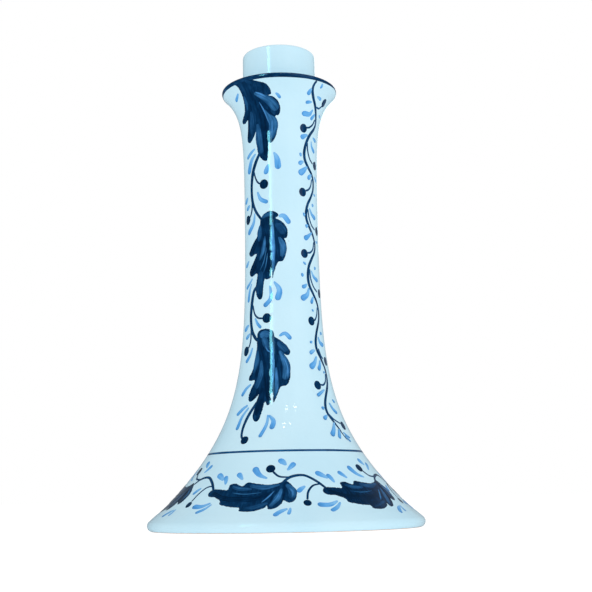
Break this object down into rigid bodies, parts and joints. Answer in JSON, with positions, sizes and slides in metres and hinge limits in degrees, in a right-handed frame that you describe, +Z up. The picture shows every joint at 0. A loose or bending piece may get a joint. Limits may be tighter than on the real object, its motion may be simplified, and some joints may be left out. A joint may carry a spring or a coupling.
{
  "type": "talavera candlestick",
  "caption": "Hand-painted talavera candlestick vase: hollow trumpet foot and slender column, flared drip pan, upright open candle socket, cobalt vines on pale glaze.",
  "frame": {"origin": "centre of the standing ring under the foot, on the surface that the candlestick stands on", "axes": "+Z up along the turned axis, from the foot to the socket's mouth; -Y is the side shown as the front"},
  "size_m": [0.1394, 0.1394, 0.25],
  "materials": {
    "white_glaze": "glossy pale blue-white tin glaze, slightly uneven, with fine pinholes",
    "raw_clay": "unglazed fired earthenware, matt and faintly sandy",
    "cobalt_dark": "brushed dark cobalt under gloss glaze, darker where the brush rested",
    "cobalt_light": "thin light blue wash under gloss glaze"
  },
  "bodies": {
    "root": {"foot_bell": "white_glaze", "column": "white_glaze", "drip_pan": "white_glaze", "candle_socket": "white_glaze", "foot_joint_coil": "raw_clay"}
  },
  "joints": []
}
